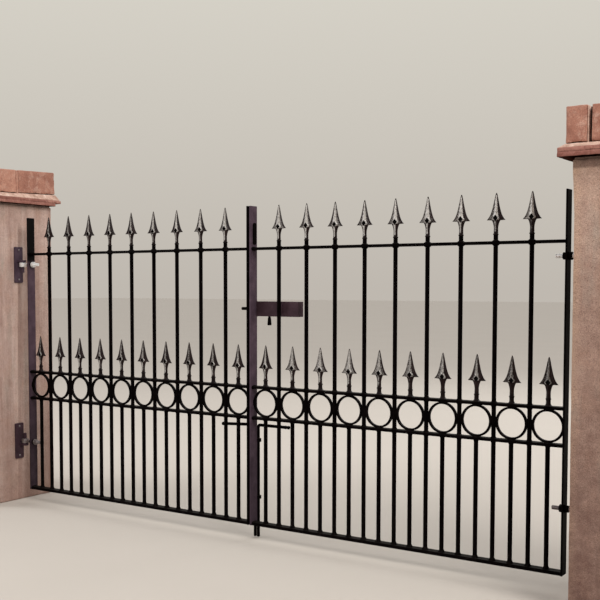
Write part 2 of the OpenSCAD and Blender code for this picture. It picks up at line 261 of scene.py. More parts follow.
def render_material(name, tones, foot_tone, foot, foot_top, streaks, specks, overhang_shadow_from, overhang_shadow_most, corner=None, stile_shadow=False):
    """Weathered sand and cement render: pinkish brown, streaked by rain, mottled, darker at the foot, with a painted
    shadow under the tiles.
    """
    p = Paint(name)
    mottle = p.noise(5.5, 6, 0.62, twist=0.6)
    patch = p.noise(24, 5, 0.6)
    streak = p.noise(1.0, 4, 0.55, co=p.scaled(26, 26, 1.6))
    fine = p.noise(1.0, 3, 0.6, co=p.scaled(95, 95, 7))
    grain = p.noise(400, 3, 0.7)
    sand = p.cells(430)
    value = p.math("ADD", p.math("MULTIPLY", mottle, 0.30), p.math("MULTIPLY", streak, streaks))
    value = p.math("ADD", value, p.math("MULTIPLY", patch, 0.55 - streaks))
    value = p.math("ADD", value, p.math("MULTIPLY", fine, 0.15))
    base = p.ramp(value, (0.38, tones[0]), (0.46, tones[1]), (0.53, tones[2]), (0.62, tones[3]))
    warm = p.span(p.noise(13, 4, 0.6), 0.50, 0.70, 0.0, 0.32)
    base = p.mix(warm, base, srgb(188, 150, 130))
    if corner:
        band = p.math("MULTIPLY", p.span(p.axis(0), corner, corner + 0.026, 1.0, 0.0), p.span(p.noise(20, 4, 0.6), 0.25, 0.6, 0.15, 0.55))
        base = p.mix(band, base, srgb(202, 168, 142))
    if stile_shadow:                                       # painted shadow of the hinge stile: a darker upright strip behind the hinges, with a pale line along its edge
        at = p.math("SUBTRACT", p.axis(1), p.math("MULTIPLY", p.axis(2), 0.015))
        inner = p.math("MULTIPLY", p.span(p.axis(0), -1.31, -1.304), p.span(p.axis(2), 1.20, 1.26, 1.0, 0.0))
        dark = p.math("MULTIPLY", p.span(at, -0.007, -0.003), p.span(at, 0.008, 0.026, 1.0, 0.0))
        base = p.mix(p.math("MULTIPLY", p.math("MULTIPLY", dark, inner), 0.42), base, srgb(112, 88, 78))
        pale = p.math("MULTIPLY", p.span(at, -0.015, -0.011), p.span(at, -0.009, -0.006, 1.0, 0.0))
        base = p.mix(p.math("MULTIPLY", p.math("MULTIPLY", pale, inner), 0.45), base, srgb(206, 180, 166))
    grey = p.span(p.noise(9, 5, 0.6, co=p.scaled(1.6, 1.6, 0.45)), 0.54, 0.70, 0.0, 0.45)
    base = p.mix(grey, base, srgb(158, 150, 140))
    low = p.math("MULTIPLY", p.span(p.axis(2), 0.0, foot_top, 1.0, 0.0), p.span(p.noise(14, 5, 0.65), 0.28, 0.60, 0.55, 1.0))
    base = p.mix(p.math("MULTIPLY", low, foot), base, foot_tone)
    # painted shadow under the tile overhang: a darker band at the top of the pier
    overhang_shadow = p.math("MULTIPLY", p.span(p.axis(2), overhang_shadow_from, overhang_shadow_from + 0.006, 0.0, overhang_shadow_most), p.span(p.noise(42, 4, 0.6), 0.3, 0.6, 0.75, 1.0))
    base = p.mix(overhang_shadow, base, srgb(92, 68, 60))
    speck = p.span(grain, 0.36, 0.66, 0.72, 1.24)
    n = p.tree.nodes.new("ShaderNodeVectorMath")
    n.operation = "SCALE"
    p.put(n.inputs[0], base)
    p.put(n.inputs["Scale"], speck)
    base = n.outputs[0]
    dark = p.math("MULTIPLY", p.span(p.noise(240, 3, 0.65), 0.58, 0.68), specks)
    base = p.mix(dark, base, srgb(92, 68, 58))
    h = p.math("ADD", p.math("MULTIPLY", grain, 0.7), p.math("MULTIPLY", sand, 0.5))
    b = p.bump(p.noise(34, 4, 0.55), 0.0045)
    b = p.bump(p.noise(150, 3, 0.6), 0.0012, b)
    b = p.bump(h, 0.0011, b)
    return p.finish(colour=base, rough=0.92, spec=0.25, normal=b)


def clay_material(name, dark, mid, light, spots, bloom, bump=1.0, vary=0.0):
    """Fired clay: the tint of each brick or tile, sandy speckle, dark firing spots, pale bloom and pits."""
    p = Paint(name)
    t = p.tint()
    cloud = p.noise(32, 5, 0.65, twist=0.5)
    sand = p.noise(360, 3, 0.7)
    value = p.math("ADD", p.math("MULTIPLY", t, 0.46), p.math("MULTIPLY", cloud, 0.54))
    base = p.ramp(value, (0.30, dark), (0.50, mid), (0.72, light))
    scorch = p.span(p.noise(19, 5, 0.62), 0.57 - vary, 0.72 - vary, 0.0, 0.62)
    base = p.mix(scorch, base, dark)
    base = p.mix(p.span(p.noise(170, 4, 0.75), 0.60, 0.69, 0.0, 0.75), base, spots)
    pale = p.math("MULTIPLY", p.span(p.noise(30 if vary else 48, 6, 0.72), 0.56 - vary, 0.70 - vary, 0.0, 0.62), p.span(p.noise(210, 3, 0.6), 0.35, 0.6, 0.4, 1.0))
    base = p.mix(pale, base, bloom)
    n = p.tree.nodes.new("ShaderNodeVectorMath")
    n.operation = "SCALE"
    p.put(n.inputs[0], base)
    p.put(n.inputs["Scale"], p.span(sand, 0.34, 0.68, 0.78, 1.18))
    # painted shade: faces that look down are mixed towards near black; only they get specular
    underside_shade = p.span(p.axis(2, "normal"), -0.85, -0.35)
    inner = p.span(p.math("ABSOLUTE", p.axis(0)), 1.285, 1.308)      # painted shade under the overhang is paler at the gates
    base = p.mix(underside_shade, p.mix(inner, (0.034, 0.014, 0.010), (0.0045, 0.0012, 0.0008)), n.outputs[0])
    pits = p.span(p.cells(240), 0.02, 0.22, 0.0, 1.0)
    b = p.bump(p.noise(60, 4, 0.6), 0.0028 * bump)
    b = p.bump(pits, 0.0007 * bump, b)
    b = p.bump(sand, 0.0007 * bump, b)
    return p.finish(colour=base, rough=p.span(sand, 0.3, 0.7, 0.78, 0.94), spec=p.math("MULTIPLY", underside_shade, 0.3), normal=b)


def mortar_material():
    p = Paint("lime_mortar")
    cloud = p.noise(38, 5, 0.65)
    sand = p.noise(480, 3, 0.7)
    base = p.ramp(cloud, (0.32, srgb(168, 134, 119)), (0.52, srgb(206, 172, 156)), (0.70, srgb(228, 204, 190)))
    dirt = p.span(p.noise(26, 5, 0.65), 0.56, 0.72, 0.0, 0.5)
    base = p.mix(dirt, base, srgb(150, 112, 96))
    n = p.tree.nodes.new("ShaderNodeVectorMath")
    n.operation = "SCALE"
    p.put(n.inputs[0], base)
    p.put(n.inputs["Scale"], p.span(sand, 0.34, 0.68, 0.82, 1.12))
    b = p.bump(p.noise(110, 4, 0.6), 0.002)
    b = p.bump(sand, 0.0009, b)
    return p.finish(colour=n.outputs[0], rough=0.93, spec=0.25, normal=b)


def floor_material():
    p = Paint("pale_floor")
    base = p.ramp(p.noise(1.3, 3, 0.5), (0.35, srgb(193, 185, 176)), (0.65, srgb(195, 187, 178)))
    return p.finish(colour=base, rough=0.9, spec=0.2, normal=p.bump(p.noise(160, 2), 0.0004))


IRON = iron_material("black_paint", ((0.0014, 0.0009, 0.0010), (0.0024, 0.0015, 0.0016), (0.0056, 0.0037, 0.0038)), 0.008)
# painted sheen: the next three paints carry purple-grey shades for the sky reflected in black paint: the first on the
# right meeting stile and the upper hinge brackets, the second on the left hinge stile, the third, darker, on the latch
# case and the lower hinge brackets
SHEEN_PAINT = iron_material("painted_sheen_black_paint", ((0.0490, 0.0315, 0.0440), (0.0690, 0.0450, 0.0620), (0.0930, 0.0630, 0.0830)), 0.05, 0.12, (0.42, 0.60), None, 0.62)
SHEEN_PAINT_LOW = iron_material("half_painted_sheen_black_paint", ((0.0500, 0.0310, 0.0420), (0.0710, 0.0450, 0.0600), (0.0920, 0.0610, 0.0790)), 0.05, 0.12, (0.42, 0.60), 1.078, 0.45)
WORN_SHEEN = iron_material("worn_sheen_black_paint", ((0.0310, 0.0165, 0.0215), (0.0460, 0.0250, 0.0330), (0.0640, 0.0380, 0.0470)), 0.06, 0.12, (0.42, 0.60))
SPEAR = spear_material()
ZINC = zinc_material("zinc_plate", ((0.62, 0.61, 0.61), (0.84, 0.84, 0.85), (0.95, 0.95, 0.96)), 0.45)
DULL = zinc_material("dull_zinc_plate", ((0.10, 0.08, 0.08), (0.19, 0.16, 0.16), (0.30, 0.27, 0.27)), 0.6)
RENDER = {-1: render_material("sand_render_left", (srgb(152, 122, 112), srgb(178, 149, 139), srgb(193, 166, 156), srgb(208, 184, 174)), srgb(138, 107, 95), 0.75, 0.62, 0.44, 0.30, 1.322, 0.35, None, True),
          1: render_material("sand_render_right", (srgb(150, 121, 109), srgb(166, 137, 124), srgb(178, 149, 135), srgb(192, 164, 148)), srgb(96, 69, 62), 0.95, 1.15, 0.16, 0.60, 1.299, 0.62, 1.312)}
BRICK = clay_material("coping_clay", srgb(140, 92, 78), srgb(174, 124, 106), srgb(202, 154, 134), srgb(104, 64, 54), srgb(208, 172, 156), 1.0, 0.05)
TILE = clay_material("tile_clay", srgb(124, 76, 66), srgb(152, 103, 92), srgb(174, 126, 113), srgb(92, 54, 47), srgb(196, 158, 145), 0.8)
MORTAR = mortar_material()
# painted shade: a near-black paint for the core seen in the coping's joints
JOINT_SHADE = iron_material("joint_painted_shade", ((0.018, 0.010, 0.008), (0.030, 0.018, 0.014), (0.050, 0.032, 0.026)), 0.1)

# ---------------------------------------------------------------- mesh tools
GATE = Vector((0.0, 0.015, 0.062))            # gate's plane and bottom rail's centre, in the row frame


def table_curve(table, x):
    """Smooth monotone curve through the table's points."""
    if x <= table[0][0]:
        return table[0][1]
    if x >= table[-1][0]:
        return table[-1][1]
    i = max(k for k in range(len(table) - 1) if table[k][0] <= x)
    slope = [(table[k + 1][1] - table[k][1]) / (table[k + 1][0] - table[k][0]) for k in range(len(table) - 1)]

    def tangent(k):
        if k == 0:
            return slope[0]
        if k == len(table) - 1:
            return slope[-1]
        a, b = slope[k - 1], slope[k]
        return 0.0 if a * b <= 0 else 2 * a * b / (a + b)

    (x0, y0), (x1, y1) = table[i], table[i + 1]
    h = x1 - x0
    t = (x - x0) / h
    m0, m1 = tangent(i), tangent(i + 1)
    return ((2 * t ** 3 - 3 * t ** 2 + 1) * y0 + (t ** 3 - 2 * t ** 2 + t) * h * m0
            + (-2 * t ** 3 + 3 * t ** 2) * y1 + (t ** 3 - t ** 2) * h * m1)


def smooth(t):
    t = min(1.0, max(0.0, t))
    return t * t * (3 - 2 * t)


def cloud(p, freq, octaves=3):
    """Layered noise of a point in mm, about -1 to 1. freq is per mm."""
    total, size = 0.0, 1.0
    for i in range(octaves):
        total += size * noise.noise(Vector(p) * freq * 2 ** i + Vector((17.3 * i, 5.1, 9.7)))
        size *= 0.5
    return total


class Piece:
    """Gathers closed shells, drawn in mm for the right-hand side, into one object."""

    def __init__(self, name, body, side=1, at_gate=True):
        self.name, self.body, self.side, self.at_gate = name, body, side, at_gate
        self.v, self.f, self.tint, self.mat = [], [], [], []

    def add(self, verts, faces, tint=0.5, mat=0):
        base = len(self.v)
        self.v.extend(Vector(p) for p in verts)
        self.f.extend(tuple(i + base for i in f) for f in faces)
        self.tint.extend(tint if isinstance(tint, list) else [tint] * len(verts))
        self.mat.extend([mat] * len(faces))
        return self

    def make(self, mats, slot=None, replaces=(), angle=38, weighted=True):
        shift = GATE if self.at_gate else Vector()
        pts = [Vector((p.x * self.side, p.y, p.z)) / 1000 + shift for p in self.v]
        faces = self.f if self.side > 0 else [tuple(reversed(f)) for f in self.f]
        mesh = bpy.data.meshes.new(self.name)
        mesh.from_pydata([tuple(p) for p in pts], [], faces)
        mesh.update()
        mesh.attributes.new("tint", "FLOAT", "POINT").data.foreach_set("value", self.tint)
        for m in mats:
            mesh.materials.append(m)
        mesh.polygons.foreach_set("material_index", self.mat)
        bm = bmesh.new()
        bm.from_mesh(mesh)
        bmesh.ops.recalc_face_normals(bm, faces=bm.faces)
        bm.to_mesh(mesh)
        bm.free()
        mesh.shade_smooth()
        mesh.set_sharp_from_angle(angle=math.radians(angle))
        o = bpy.data.objects.new(self.name, mesh)
        bpy.context.scene.collection.objects.link(o)
        if weighted:
            w = o.modifiers.new("weighted", "WEIGHTED_NORMAL")
            w.keep_sharp, w.weight = True, 60
        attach(o, self.body)
        if replaces:
            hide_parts(*replaces)
        return o


def from_bmesh(bm):
    bm.verts.ensure_lookup_table()
    bm.verts.index_update()
    out = [v.co.copy() for v in bm.verts], [tuple(v.index for v in f.verts) for f in bm.faces]
    bm.free()
    return out


def slab(x0, x1, y0, y1, z0, z1, r=1.0, seg=3):
    """Flat bar or block with rounded edges."""
    bm = bmesh.new()
    bmesh.ops.create_cube(bm, size=1)
    for v in bm.verts:
        v.co = Vector((x0 + (v.co.x + 0.5) * (x1 - x0), y0 + (v.co.y + 0.5) * (y1 - y0), z0 + (v.co.z + 0.5) * (z1 - z0)))
    bmesh.ops.bevel(bm, geom=bm.edges[:] + bm.verts[:], offset=r, segments=seg, profile=0.5, affect="EDGES", clamp_overlap=True)
    return from_bmesh(bm)


def plate(outline, lo, hi, axis, r=0.8, seg=2):
    """Closed outline (u, v) extruded from lo to hi along axis, with rounded rims. u and v are the other two axes in order."""
    def place(u, v, w):
        return {0: Vector((w, u, v)), 1: Vector((u, w, v)), 2: Vector((u, v, w))}[axis]

    bm = bmesh.new()
    a = [bm.verts.new(place(u, v, lo)) for u, v in outline]
    b = [bm.verts.new(place(u, v, hi)) for u, v in outline]
    n = len(outline)
    caps = [bm.faces.new(a), bm.faces.new(list(reversed(b)))]
    for i in range(n):
        bm.faces.new((a[i], b[i], b[(i + 1) % n], a[(i + 1) % n]))
    bmesh.ops.recalc_face_normals(bm, faces=bm.faces)
    if r > 0:
        rims = list({e for f in caps for e in f.edges})
        bmesh.ops.bevel(bm, geom=rims, offset=r, segments=seg, profile=0.5, affect="EDGES", clamp_overlap=True)
    return from_bmesh(bm)


def round_rect(u0, u1, v0, v1, radii, n=5):
    """Outline of a rectangle with its own radius at each corner: low-low, high-low, high-high, low-high."""
    out = []
    corners = [(u0, v0, 180), (u1, v0, 270), (u1, v1, 0), (u0, v1, 90)]
    for (u, v, start), r in zip(corners, radii):
        if r <= 0:
            out.append((u, v))
            continue
        cu = u + r if u == u0 else u - r
        cv = v + r if v == v0 else v - r
        for i in range(n + 1):
            a = math.radians(start + 90 * i / n)
            out.append((cu + r * math.cos(a), cv + r * math.sin(a)))
    return out


def lathe(profile, seg=24, centre=(0, 0, 0), axis=2, wobble=None, start=0.0):
    """Profile (r, h) turned about an axis through centre; it starts and ends on the axis or is capped."""
    verts, faces, rows = [], [], []

    def place(x, y, h):
        c = Vector(centre)
        if axis == 2:
            return c + Vector((x, y, h))
        if axis == 0:
            return c + Vector((h, x, y))
        return c + Vector((x, h, y))

    for k, (r, h) in enumerate(profile):
        if r < 1e-6:
            rows.append([len(verts)])
            verts.append(place(0, 0, h))
            continue
        row = []
        for i in range(seg):
            a = start + 2 * math.pi * i / seg
            rr = r if wobble is None else r * wobble(a, k)
            row.append(len(verts))
            verts.append(place(rr * math.cos(a), rr * math.sin(a), h))
        rows.append(row)
    for p, q in zip(rows, rows[1:]):
        for i in range(seg):
            j = (i + 1) % seg
            if len(p) == 1 and len(q) == 1:
                continue
            if len(p) == 1:
                faces.append((p[0], q[i], q[j]))
            elif len(q) == 1:
                faces.append((p[i], q[0], p[j]))
            else:
                faces.append((p[i], q[i], q[j], p[j]))
    if len(rows[0]) > 1:
        faces.append(tuple(reversed(rows[0])))
    if len(rows[-1]) > 1:
        faces.append(tuple(rows[-1]))
    return verts, faces


def turned_loop(loop, seg=32, centre=(0, 0, 0), axis=2, shape=None):
    """Closed section (r, h) turned about an axis, as for a washer or a weld. shape(a, k, r, h) may change a point."""
    verts, faces = [], []
    n = len(loop)
    c = Vector(centre)
    for i in range(seg):
        a = 2 * math.pi * i / seg
        for k, (r, h) in enumerate(loop):
            if shape:
                r, h = shape(a, k, r, h)
            x, y = r * math.cos(a), r * math.sin(a)
            verts.append(c + (Vector((x, y, h)) if axis == 2 else Vector((h, x, y)) if axis == 0 else Vector((x, h, y))))
    for i in range(seg):
        j = (i + 1) % seg
        for k in range(n):
            m = (k + 1) % n
            faces.append((i * n + k, j * n + k, j * n + m, i * n + m))
    return verts, faces


def tube(path, radii, seg=16):
    """Round bar along a path, each end closed to a point on its own axis."""
    pts = [Vector(p) for p in path]
    verts, faces, rows = [], [], []
    ahead = (pts[1] - pts[0]).normalized()
    ref = Vector((0, 1, 0)) if abs(ahead.y) < 0.9 else Vector((1, 0, 0))
    n = (ref - ahead * ref.dot(ahead)).normalized()
    for i, p in enumerate(pts):
        if i == 0:
            d = pts[1] - pts[0]
        elif i == len(pts) - 1:
            d = pts[-1] - pts[-2]
        else:
            d = (pts[i + 1] - p).normalized() + (p - pts[i - 1]).normalized()
        d.normalize()
        n = (n - d * n.dot(d)).normalized()
        b = d.cross(n)
        row = []
        for k in range(seg):
            a = 2 * math.pi * k / seg
            row.append(len(verts))
            verts.append(p + (n * math.cos(a) + b * math.sin(a)) * radii[i])
        rows.append(row)
    for p, q in zip(rows, rows[1:]):
        for i in range(seg):
            j = (i + 1) % seg
            faces.append((p[i], p[j], q[j], q[i]))
    faces.append(tuple(reversed(rows[0])))
    faces.append(tuple(rows[-1]))
    return verts, faces


def weld_ring(c, r_in, r_out, h, up=1, seg=20, seed=0, axis=2):
    """Fillet weld round a bar where it stands on a flat."""
    rnd = random.Random(seed)
    waves, phase, lean = rnd.choice((7, 8, 9)), rnd.random() * 6.28, rnd.random() * 6.28
    gap = r_out - r_in
    loop = [(r_in - 0.5, -0.4), (r_out, -0.4), (r_out - 0.25, 0.7), (r_in + gap * 0.48, h * 0.40), (r_in + 0.9, h * 0.82), (r_in - 0.5, h)]

    def shape(a, k, r, hh):
        if k in (0, 5):
            return r, hh * up
        size = 1 + 0.10 * math.sin(waves * a + phase) + 0.12 * math.sin(a + lean)
        return r_in + (r - r_in) * size, (hh * size if hh > 0 else hh) * up

    return turned_loop(loop, seg, c, axis, shape)


def bead(a, b, normal, width, height, seg=8, n=12, waves=4, seed=0):
    """Short run of weld from a to b, proud towards normal."""
    rnd = random.Random(seed)
    phase = rnd.random() * 6.28
    a, b, normal = Vector(a), Vector(b), Vector(normal).normalized()
    ahead = (b - a).normalized()
    side = ahead.cross(normal).normalized()
    up = side.cross(ahead)
    verts, rows, faces = [a.copy()], [[0]], []
    for i in range(1, n):
        t = i / n
        size = math.sin(math.pi * t) ** 0.4 * (1 + 0.13 * math.sin(2 * math.pi * waves * t + phase))
        row = []
        for k in range(seg):
            q = 2 * math.pi * k / seg
            row.append(len(verts))
            verts.append(a + (b - a) * t + side * math.cos(q) * width / 2 * size + up * math.sin(q) * height * size)
        rows.append(row)
    rows.append([len(verts)])
    verts.append(b.copy())
    for p, q in zip(rows, rows[1:]):
        for i in range(seg):
            j = (i + 1) % seg
            if len(p) == 1:
                faces.append((p[0], q[i], q[j]))
            elif len(q) == 1:
                faces.append((p[i], q[0], p[j]))
            else:
                faces.append((p[i], q[i], q[j], p[j]))
    return verts, faces


def stone(x0, x1, y0, y1, z0, z1, cell, r, amp, seed=0, chip=0.0, freq=0.03, taper=None):
    """Rounded block with an uneven face. Every point moves inwards only, by up to amp, or chip along the edges."""
    lo, hi = Vector((x0, y0, z0)), Vector((x1, y1, z1))

    def lines(a, b):
        mid = max(1, round((b - a - 2 * r) / cell))
        return [a, a + r * 0.3, a + r] + [a + r + (b - a - 2 * r) * i / mid for i in range(1, mid)] + [b - r, b - r * 0.3, b]

    axes = [lines(lo[k], hi[k]) for k in range(3)]
    count = [len(x) for x in axes]
    index, verts, faces = {}, [], []
    shift = Vector((seed * 31.7 % 997, seed * 12.9 % 991, seed * 7.1 % 983))

    def vert(i, j, k):
        key = (i, j, k)
        if key in index:
            return index[key]
        p = Vector((axes[0][i], axes[1][j], axes[2][k]))
        q = Vector((min(max(p[m], lo[m] + r), hi[m] - r) for m in range(3)))
        d = (p - q).normalized()
        beyond = sum(1 for m in range(3) if abs(p[m] - q[m]) > 1e-6)
        p = q + d * r
        depth = amp * (0.5 + 0.5 * max(-1, min(1, 1.3 * cloud(p + shift, freq))))
        if chip and beyond > 1:
            depth += chip * smooth((cloud(p + shift * 3, 0.055, 2) - 0.12) / 0.5)
        p -= d * depth
        if taper:
            p = taper(p)
        index[key] = len(verts)
        verts.append(p)
        return index[key]

    for fixed in range(3):
        u, v = [m for m in range(3) if m != fixed]
        for end in (0, count[fixed] - 1):
            for a in range(count[u] - 1):
                for b in range(count[v] - 1):
                    quad = []
                    for da, db in ((0, 0), (1, 0), (1, 1), (0, 1)):
                        ijk = [0, 0, 0]
                        ijk[fixed], ijk[u], ijk[v] = end, a + da, b + db
                        quad.append(vert(*ijk))
                    faces.append(tuple(quad))
    return verts, faces


def ring_bar(centre, r_out, r_in, depth, corner=1.4, seg=72):
    """Flat bar bent to a ring about Y, with rounded edges."""
    loop = round_rect(r_in, r_out, -depth / 2, depth / 2, (corner,) * 4, 2)
    return turned_loop(loop, seg, centre, 1)


def hex_nut(x, h, af, bore, centre=(0, 0), seg=48, turn=0.0):
    """Chamfered hexagon nut about the X axis, from x to x + h."""
    rc = af / 2 * 0.985
    rows = []
    for kind in range(6):
        row = []
        for i in range(seg):
            a = 2 * math.pi * i / seg
            m = (a % (math.pi / 3)) - math.pi / 6
            rh = af / 2 / math.cos(m)
            drop = (rh - rc) * math.tan(math.radians(30))
            r, at = {0: (bore, 0.0), 1: (rc, 0.0), 2: (rh, drop), 3: (rh, h - drop), 4: (rc, h), 5: (bore, h)}[kind]
            row.append(Vector((x + at, centre[0] + r * math.cos(a + turn), centre[1] + r * math.sin(a + turn))))
        rows.append(row)
    verts = [p for row in rows for p in row]
    faces = []
    for k in range(6):
        m = (k + 1) % 6
        for i in range(seg):
            j = (i + 1) % seg
            faces.append((k * seg + i, k * seg + j, m * seg + j, m * seg + i))
    return verts, faces


def thread(x0, x1, r, depth, pitch, centre=(0, 0), seg=24, step=None):
    """Screwed rod about the X axis: a real helix, run out at both ends."""
    step = step or pitch / 4
    n = max(4, int(round((x1 - x0) / step)))
    rows = []
    for i in range(n + 1):
        x = x0 + (x1 - x0) * i / n
        row = []
        for k in range(seg):
            a = 2 * math.pi * k / seg
            t = (x / pitch + k / seg) % 1.0
            cut = depth * (1 - abs(2 * t - 1))
            end = min(1.0, (x - x0) / 1.2, (x1 - x) / 1.2)
            rr = r - cut - (1 - max(0.0, end)) * 1.0
            row.append(Vector((x, centre[0] + rr * math.cos(a), centre[1] + rr * math.sin(a))))
        rows.append(row)
    verts = [p for row in rows for p in row]
    faces = [(i * seg + k, i * seg + (k + 1) % seg, (i + 1) * seg + (k + 1) % seg, (i + 1) * seg + k) for i in range(n) for k in range(seg)]
    faces.append(tuple(reversed(range(seg))))
    faces.append(tuple(range(n * seg, n * seg + seg)))
    return verts, faces


def softened(node, r, seg=2, angle=28):
    """A CAD node's shape in mm of the row frame, its flats cleaned and its edges rounded, as (verts, faces)."""
    bm = bmesh.new()
    bm.from_mesh(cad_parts[node].data)
    bmesh.ops.scale(bm, vec=(1000, 1000, 1000), verts=bm.verts)
    bmesh.ops.remove_doubles(bm, verts=bm.verts, dist=0.002)
    bmesh.ops.dissolve_limit(bm, angle_limit=math.radians(1.5), verts=bm.verts, edges=bm.edges)
    sharp = [e for e in bm.edges if len(e.link_faces) == 2 and e.calc_face_angle() > math.radians(angle)]
    bmesh.ops.bevel(bm, geom=sharp, offset=r, segments=seg, profile=0.5, affect="EDGES", clamp_overlap=True)
    return from_bmesh(bm)


# ---------------------------------------------------------------- sizes (mm, as in the CAD)
X_IN, X_OUT = 10.9, 1215.9
RING_X = [64.4 + 122 * k for k in range(10)]
TALL_X = [125.4 + 122 * k for k in range(9)]
TOP, BAND_UP, BAND_LOW = 1044.0, 521.5, 404.5
PIN_X, ROD_Y, LATCH_Z = 1273.0, 31.0, 818.0
FACE = {-1: 1300.0, 1: 1310.0}                 # the piers' inner faces
DROP_X, DROP_TOP, KNOB_X = 7.5, 373.5, 60.0
LEAN = math.radians(2)                        # the left coping has settled forwards

# ---------------------------------------------------------------- spear finial
HEAD_W = [(73.0, 31.6), (76.5, 28.2), (80.0, 25.3), (87.0, 21.0), (94.5, 17.5), (104, 14.5), (113, 12.0), (125, 9.4), (137, 6.8), (149, 4.3), (156, 2.5), (160, 0.8)]
NECK_W = [(29, 6.4), (34, 7.4), (40, 7.0), (48, 7.0), (55, 7.8), (62, 9.4), (68, 11.6), (72.2, 14.0)]
RIDGE = [(29, 5.4), (36, 5.2), (45, 4.8), (55, 5.8), (62, 6.8), (70, 7.6), (82, 7.5), (95, 7.3), (113, 5.8), (137, 3.6), (150, 2.3), (160, 0.8)]
PIT_Z, PIT_W, PIT_H = 79.5, 8.4, 10.3
ROWS = [29.5, 32, 36, 40, 44, 48, 52, 56, 59, 62, 64.5, 66.5, 68, 69.2, 70.6, 72.2, "barb", 77.0, 78.3, 79.5, 81, 82.6, 84.2, 85.8,
        87.3, 88.7, 89.9, 91.5, 94, 97, 101, 105, 110, 115, 121, 127, 133, 139, 145, 150, 154.5, 157.8, 160]


# How far the paint is rubbed away on the cast heads, with their painted highlight, along the gates, from the left pier
# (0) to the right one (1): spine, left flank, right flank, neck. Towards the right pier the left flanks carry more
# painted highlight, as if lit from the left.
TOP_WEAR_SHEEN = [(0.0, (0.50, 0.24, 0.22, 0.52)), (0.22, (0.58, 0.30, 0.27, 0.54)), (0.42, (0.84, 0.43, 0.44, 0.60)), (0.58, (0.92, 0.46, 0.48, 0.66)),
            (0.80, (0.90, 0.49, 0.42, 0.58)), (1.0, (0.82, 0.52, 0.30, 0.40))]
DOG_WEAR_SHEEN = [(0.0, (0.49, 0.22, 0.22, 0.60)), (0.30, (0.53, 0.26, 0.24, 0.58)), (0.49, (0.56, 0.32, 0.31, 0.58)), (0.60, (0.66, 0.50, 0.46, 0.62)), (0.68, (0.66, 0.55, 0.52, 0.62)),
            (0.80, (0.56, 0.46, 0.34, 0.34)), (1.0, (0.52, 0.38, 0.24, 0.22))]


def wear_sheen_at(table, x, side, rnd):
    u = (side * x + 1220) / 2440
    spine, left, right, neck = [table_curve([(a, row[k]) for a, row in table], u) + rnd.uniform(-0.04, 0.04) for k in range(4)]
    # the painted highlight stays on the left flank on both leaves
    return (spine, left, right, neck) if side > 0 else (spine, right, left, neck)


